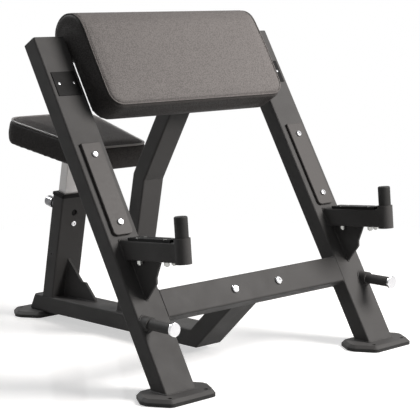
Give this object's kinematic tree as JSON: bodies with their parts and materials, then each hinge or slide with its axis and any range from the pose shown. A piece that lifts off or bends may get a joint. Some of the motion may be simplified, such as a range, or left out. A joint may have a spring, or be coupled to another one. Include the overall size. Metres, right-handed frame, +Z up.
{
  "type": "preacher curl bench",
  "caption": "Preacher curl bench: a sloping arm pad between leaning uprights, bar catches with pegs, and a padded seat on a pinned, height-adjustable post.",
  "frame": {"origin": "middle of the floor area under the bench, on the floor", "axes": "+X to the right of someone who faces the arm pad from the front, +Y to the rear, where the seat is, +Z up"},
  "size_m": [0.976, 1.169, 0.9346],
  "materials": {
    "powder_coat": "matte textured powder coat",
    "pad_leather": "fine-grained matte",
    "foot_rubber": "matte",
    "wear_plastic": "fine matte",
    "cap_plastic": "matte",
    "bright": "polished",
    "post_steel": "satin",
    "zinc": "zinc plated",
    "board": "plain plywood"
  },
  "bodies": {
    "frame": {"arm_pad": "pad_leather", "arm_pad_board": "board", "badge_rivets": "bright", "base_beam": "powder_coat", "base_end_cap": "cap_plastic", "brace_bolts": "bright", "brace_flange": "powder_coat", "brace_nuts": "zinc", "cross_beam": "powder_coat", "front_brace": "powder_coat", "guide_bolt": "bright", "left_badge_plate": "powder_coat", "left_band_peg": "powder_coat", "left_band_peg_end": "bright", "left_catch_arm": "powder_coat", "left_catch_gusset": "powder_coat", "left_catch_liner": "wear_plastic", "left_catch_peg": "foot_rubber", "left_catch_socket": "powder_coat", "left_foot_plate": "powder_coat", "left_foot_rubber": "foot_rubber", "left_upright": "powder_coat", "left_upright_cap": "cap_plastic", "left_wear_strip": "wear_plastic", "liner_bolts": "zinc", "liner_nuts": "zinc", "pad_bolts": "zinc", "pad_plate": "powder_coat", "pin_barrel": "zinc", "rear_foot_plate": "powder_coat", "rear_foot_rubber": "foot_rubber", "right_badge_plate": "powder_coat", "right_band_peg": "powder_coat", "right_band_peg_end": "bright", "right_catch_arm": "powder_coat", "right_catch_gusset": "powder_coat", "right_catch_liner": "wear_plastic", "right_catch_peg": "foot_rubber", "right_catch_socket": "powder_coat", "right_foot_plate": "powder_coat", "right_foot_rubber": "foot_rubber", "right_upright": "powder_coat", "right_upright_cap": "cap_plastic", "right_wear_strip": "wear_plastic", "seat_guide": "cap_plastic", "seat_gusset": "powder_coat", "seat_sleeve": "powder_coat", "spine_lower": "powder_coat", "spine_upper": "powder_coat", "strip_bolts": "bright"},
    "seat": {"seat_post": "post_steel", "post_plug": "cap_plastic", "seat_plate": "powder_coat", "seat_board": "board", "seat_pad": "pad_leather", "seat_bolts": "zinc"},
    "pin": {"pin_plunger": "post_steel", "pin_knob": "bright"}
  },
  "joints": [
    {"name": "seat_height", "type": "slide", "parent": "frame", "child": "seat", "axis": [0, -0.2079, 0.9781], "range_m": [-0.075, 0.075]},
    {"name": "pin_pull", "type": "slide", "parent": "frame", "child": "pin", "axis": [0, 0.9781, 0.2079], "range_m": [0, 0.012], "stiffness_N_per_m": 1500, "springref_m": -0.005}
  ]
}
